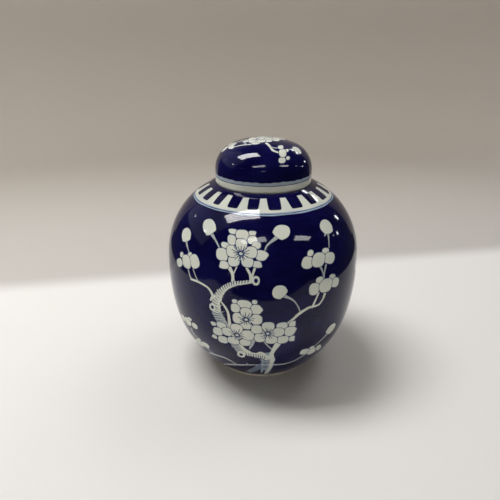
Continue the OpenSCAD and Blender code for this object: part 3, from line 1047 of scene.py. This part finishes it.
def painted_glaze(name, seed):
    """Cobalt painted under a clear, faintly green glaze; the unglazed foot, seat and rims are bare paste."""
    shade = Shade(name)
    here = shade.add("ShaderNodeTexCoord", {}, {}, "Object")
    place = shade.add("ShaderNodeMapping", {}, {"Vector": here, "Location": (seed, 0.3 * seed, 0.1 * seed)})
    paint = shade.add("ShaderNodeAttribute", {"attribute_name": "paint"}, {}, "Color")
    bare = shade.add("ShaderNodeAttribute", {"attribute_name": "paint"}, {}, "Alpha")
    shares = shade.add("ShaderNodeSeparateColor", {}, {"Color": paint}).socket.node
    white, line, wash = [Wire(shade, shares.outputs[k]) for k in range(3)]

    # Brushed cobalt: broad cloudy patches, and finer streaks that run round the pot
    streaks = shade.add("ShaderNodeMapping", {}, {"Vector": place, "Scale": (1, 1, 5)})
    cloud = shade.noise(place, 26, 4, 0.55, 0.6)
    streak = shade.noise(streaks, 55, 3, 0.6)
    cobalt = shade.mix(shade.step(cloud * 0.65 + streak * 0.35, 0.34, 0.68), COBALT_DEEP, COBALT_LIGHT)
    ink = shade.mix(shade.step(shade.noise(place, 170, 2), 0.3, 0.75), COBALT_LINE,
                    tuple(1.5 * c for c in COBALT_LINE))
    pale = shade.mix(shade.step(shade.noise(place, 120, 2), 0.3, 0.7), COBALT_WASH,
        tuple(1.22 * c for c in COBALT_WASH))
    clean = shade.mix(shade.step(shade.noise(place, 38, 3), 0.3, 0.7), GLAZE_WHITE, GLAZE_WHITE_THICK)

    colour = shade.mix(line, cobalt, ink)
    colour = shade.mix(wash, colour, pale)
    colour = shade.mix(white, colour, clean)
    grit = shade.noise(place, 900, 2)
    paste = shade.mix(shade.step(shade.noise(place, 110, 4, 0.6), 0.35, 0.75), BARE_PASTE, BARE_PASTE_DARK)
    colour = shade.mix(bare, colour, paste)
    rough = 0.055 + 0.03 * shade.noise(place, 60, 2) + bare * (0.5 + 0.1 * grit)

    # The glaze lies in a soft ripple; the bare paste is gritty
    ripple = shade.noise(place, 42, 2, 0.45) * 0.8 + shade.noise(place, 210, 2, 0.5) * 0.1
    height = ripple * (1 - bare) + grit * bare * 0.5
    bump = shade.add("ShaderNodeBump", {}, {"Height": height, "Strength": 0.3, "Distance": 0.00028})
    shade.put(shade.skin.inputs["Base Color"], colour)
    shade.put(shade.skin.inputs["Roughness"], rough)
    shade.put(shade.skin.inputs["Normal"], bump)
    shade.skin.inputs["IOR"].default_value = 1.5
    shade.skin.inputs["Specular IOR Level"].default_value = GLAZE_SHINE
    return shade.material


# Paper under and behind the pot: its own pale tone, then two greys of painted shade for the dimmer light
# further back and up the wall; the edge where the painted shade starts, how far that edge leans, how high up
# the wall it turns grey, and where the painted shade is darkest
PAPER_NEAR, PAPER_SHADED, PAPER_SHADED_DARKEST = (0.715, 0.71, 0.695), (0.475, 0.458, 0.435), (0.375, 0.343, 0.305)
PAPER_EDGE, PAPER_SKEW = (0.150, 0.195), 0.204
PAPER_RISE, PAPER_END = (0.02, 0.55), 0.88


def paper_with_painted_shade(name):
    """Matt paper, pale under the pot, with painted shade: a warmer grey that darkens with distance and up the
    wall, where less light falls.
    """
    shade = Shade(name)
    here = shade.add("ShaderNodeTexCoord", {}, {}, "Object")
    split = shade.add("ShaderNodeSeparateXYZ", {}, {"Vector": here}).socket.node
    across, depth, height = [Wire(shade, split.outputs[k]) for k in range(3)]
    away = depth - PAPER_SKEW * across
    # Painted shade: the paper turns grey beyond its edge and up the wall, and darker still further away
    tone = shade.mix(shade.step(away, *PAPER_EDGE), PAPER_NEAR, PAPER_SHADED)
    tone = shade.mix(shade.step(height, *PAPER_RISE), tone, PAPER_SHADED)
    tone = shade.mix(shade.step(away + height, PAPER_EDGE[0], PAPER_END), tone, PAPER_SHADED_DARKEST)
    shade.put(shade.skin.inputs["Base Color"], tone)
    shade.skin.inputs["Roughness"].default_value = 0.9
    shade.skin.inputs["Specular IOR Level"].default_value = 0.15
    return shade.material


# ---------------------------------------------------------------- stage, lights and camera

# Sizes in metres. The table is a six-sided sheet: nearest edge, half width, and where it starts to widen
STAGE_R, STAGE_SWEEP_R, STAGE_WALL_H, WALL_STEPS = 1.3, 0.35, 1.3, 36
STAGE_OPENING = math.radians(49)
TABLE_FRONT, TABLE_SIDE, TABLE_TURN = -0.27, 0.32, 0.32


def stage_part(name, places, faces, material, glossy):
    """A part of the floor or wall; what isn't glossy is left out of the glaze's reflections."""
    mesh = bpy.data.meshes.new(name)
    mesh.from_pydata(places, [], faces)
    mesh.materials.append(material)
    part = bpy.data.objects.new(name, mesh)
    bpy.context.scene.collection.objects.link(part)
    part.visible_glossy = glossy
    return mesh


def stage_sheet(name, outlines, material, glossy=True):
    """A flat part of the floor."""
    corners = [(x, y, 0) for outline in outlines for x, y in outline]
    ends = np.cumsum([0] + [len(outline) for outline in outlines])
    faces = [tuple(range(first, last)) for first, last in zip(ends, ends[1:])]
    stage_part(name, corners, faces, material, glossy)


def stage_wall(name, first, last, material, glossy):
    """Part of the wall that curves up from the floor all round, between two angles from the back."""
    curve = np.linspace(0, math.pi / 2, 12)
    line = [(STAGE_R - STAGE_SWEEP_R * (1 - math.sin(a)), STAGE_SWEEP_R * (1 - math.cos(a))) for a in curve]
    line.append((STAGE_R, STAGE_WALL_H))
    n, turns = len(line), np.linspace(first, last, WALL_STEPS + 1)
    places = [(q * math.sin(a), q * math.cos(a), z) for a in turns for q, z in line]
    faces = [(k, k + n, k + n + 1, k + 1) for i in range(WALL_STEPS) for k in range(i * n, i * n + n - 1)]
    mesh = stage_part(name, places, faces, material, glossy)
    mesh.polygons.foreach_set("use_smooth", [True] * len(mesh.polygons))


def build_stage():
    """A pale table with a floor around it, and a wall that curves up all round."""
    paper = paper_with_painted_shade("shaded_paper")
    w, f, k, r = TABLE_SIDE, TABLE_FRONT, TABLE_TURN, STAGE_R
    stage_sheet("stage_table", [[(-w, f), (w, f), (w, k), (r, r), (-r, r), (-w, k)]], paper)
    around = [[(-r, -r), (r, -r), (r, f), (-r, f)], [(-r, f), (-w, f), (-w, k), (-r, r)],
              [(w, f), (r, f), (r, r), (w, k)]]
    stage_sheet("stage_floor", around, paper, False)
    stage_wall("stage_wall_back", -STAGE_OPENING, STAGE_OPENING, paper, True)
    stage_wall("stage_wall_front", STAGE_OPENING, 2 * math.pi - STAGE_OPENING, paper, False)


WARM, COOL, DIM_ROOM = (1.0, 0.985, 0.965), (0.95, 0.97, 1.0), (0.05, 0.05, 0.055, 1)
# Height of the lamps above the shoulder, the bright share of each bar, and how far its gleam hangs below
SHOULDER_Z, CEILING_H, BAR_SHARE, GLEAM_DROP = 0.16, 1.2, 0.62, 0.01
# Lamps that only light things up: name, place, size and brightness
CEILING = (("ceiling_right", (0.75, 0.55, 1.42), (0.7, 0.7), 2.5),
           ("ceiling_back", (-0.1, 0.95, 1.45), (1.2, 0.5), 0.9))
# A pale wall that shows only in the glaze: size and brightness of each layer
PALE_WALL_PLACE, PALE_WALL = (-1.05, 0.22, 0.95), ((1.35, 0.45), (1.05, 0.5), (0.75, 0.6))
# Small lights that only gleam in the glaze: direction, size and brightness
GLEAM_FROM = (0.0, 0.0, 0.15)
GLEAMS = (
    ((-0.88, -0.10, 0.47), (0.06, 0.055), 30), ((-0.84, 0.38, 0.39), (0.05, 0.02), 18),
    ((0.0, -0.92, 0.38), (0.20, 0.02), 12), ((-0.42, -0.88, 0.22), (0.06, 0.012), 12),
    ((0.82, 0.50, 0.26), (0.05, 0.09), 26), ((0.95, 0.25, 0.19), (0.05, 0.05), 24),
    ((0.91, -0.05, 0.36), (0.06, 0.03), 20), ((0.96, 0.12, 0.24), (0.03, 0.02), 20),
    ((0.42, 0.67, 0.62), (0.12, 0.05), 24), ((0.57, 0.58, 0.575), (0.17, 0.06), 24),
    ((-0.72, -0.55, 0.42), (0.05, 0.02), 14),
)


def lamp(name, place, size, turn, radiance, tint=WARM, aim=None, lights_up=True, gleams=True, only=None):
    """A flat lamp that faces down or towards a point. It may light things up, show in the glaze, or both."""
    data = bpy.data.lights.new(name, "AREA")
    data.shape, data.size, data.size_y, data.color = "RECTANGLE", *size, tint
    data.energy = radiance * math.pi * size[0] * size[1]
    obj = bpy.data.objects.new(name, data)
    obj.location = place
    obj.rotation_euler = (0, 0, math.radians(turn))
    if aim:
        obj.rotation_euler = (Vector(place) - Vector(aim)).to_track_quat("Z", "Y").to_euler()
    obj.visible_camera = False
    obj.visible_diffuse, obj.visible_glossy = lights_up, gleams
    if only:
        obj.light_linking.receiver_collection = only
    bpy.context.scene.collection.objects.link(obj)


def louvre_lamp(name, middle, length, width, turn, bars, radiance, gleam, only):
    """A ceiling lamp of bright bars, whose middle and size are given as seen at one metre above the shoulder.

    Each bar is two lamps: one lights things up, and one below it gleams, so that neither hides the other.
    """
    c, d = math.cos(math.radians(turn)), math.sin(math.radians(turn))
    for k in range(bars):
        off = (k - (bars - 1) / 2) * width / bars
        x, y = (middle[0] - d * off) * CEILING_H, (middle[1] + c * off) * CEILING_H
        bar = (length * CEILING_H, width / bars * BAR_SHARE * CEILING_H)
        z = SHOULDER_Z + CEILING_H
        lamp(f"{name}_{k}", (x, y, z), bar, turn, radiance, gleams=False, only=only)
        lamp(f"{name}_gleam_{k}", (x, y, z - GLEAM_DROP), bar, turn, gleam, lights_up=False, only=only)


def build_lights(jar_alone, lid_and_stage, pots):
    """An overhead lamp, set a little apart for jar and lid, two rows of ceiling lamps, and small gleams."""
    louvre_lamp("key_lamp_lid", (-0.47, 0.07), 0.72, 0.36, 10, 5, 27.5, 46, lid_and_stage)
    louvre_lamp("key_lamp_jar", (-0.39, -0.165), 0.68, 0.27, 2, 5, 25.5, 45, jar_alone)
    louvre_lamp("row_lamp_left", (-0.27, -1.09), 0.74, 0.25, 12, 3, 13.7, 25, pots)
    louvre_lamp("row_lamp_right", (1.22, -0.77), 0.66, 0.25, 14, 3, 13.7, 25, pots)
    for name, place, size, radiance in CEILING:
        lamp(name, place, size, 0, radiance, gleams=False)
    for size, radiance in PALE_WALL:
        name = f"pale_wall_left_{size}"
        lamp(name, PALE_WALL_PLACE, (size, size * 0.8), 0, radiance, aim=GLEAM_FROM, lights_up=False)
    for k, (way, size, radiance) in enumerate(GLEAMS):
        place = Vector(GLEAM_FROM) + Vector(way) * CEILING_H
        lamp(f"gleam_{k}", place, size, 0, radiance, COOL, aim=GLEAM_FROM, lights_up=False)
    world = bpy.data.worlds.new("dim_room")
    world.use_nodes = True
    world.node_tree.nodes["Background"].inputs["Color"].default_value = DIM_ROOM
    bpy.context.scene.world = world


CAMERA_PLACE = (0.0, -0.34668, 0.25677)
CAMERA_PITCH, CAMERA_TURN, CAMERA_LENS = 24.05, 1.79, 31.18


def build_camera():
    data = bpy.data.cameras.new("camera")
    data.lens, data.sensor_width = CAMERA_LENS, 36.0
    data.clip_start = 0.01
    camera = bpy.data.objects.new("camera", data)
    camera.location = CAMERA_PLACE
    camera.rotation_euler = (math.radians(90 - CAMERA_PITCH), 0, math.radians(CAMERA_TURN))
    bpy.context.scene.collection.objects.link(camera)
    bpy.context.scene.camera = camera
    bpy.context.scene.view_settings.view_transform = "Standard"


# ---------------------------------------------------------------- putting it together

def build_jar():
    skin = painted_skin("jar_outside", jar_painting())
    underside, inside = jar_rest()
    join_pieces(inside, underside)
    pot = closed_pot("jar_painted", skin, inside, jar_outline)
    pot.data.materials.append(painted_glaze("jar_glaze", 0.0))
    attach(pot, "jar")
    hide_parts("jar")
    return pot


def build_lid():
    skin = painted_skin("lid_outside", lid_painting())
    pot = closed_pot("lid_painted", skin, lid_rest(), lid_outline)
    pot.data.materials.append(painted_glaze("lid_glaze", 0.37))
    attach(pot, "lid")
    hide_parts("lid")
    return pot


def receivers(name, *members):
    """A group of objects that a lamp is kept for."""
    group = bpy.data.collections.new(name)
    for member in members:
        group.objects.link(member)
    return group


build_camera()
build_stage()
jar, lid = build_jar(), build_lid()
stage = [o for o in bpy.context.scene.objects if o.name.startswith("stage_")]
pots = receivers("pots", jar, lid)
build_lights(receivers("jar_alone", jar), receivers("lid_and_stage", lid, *stage), pots)
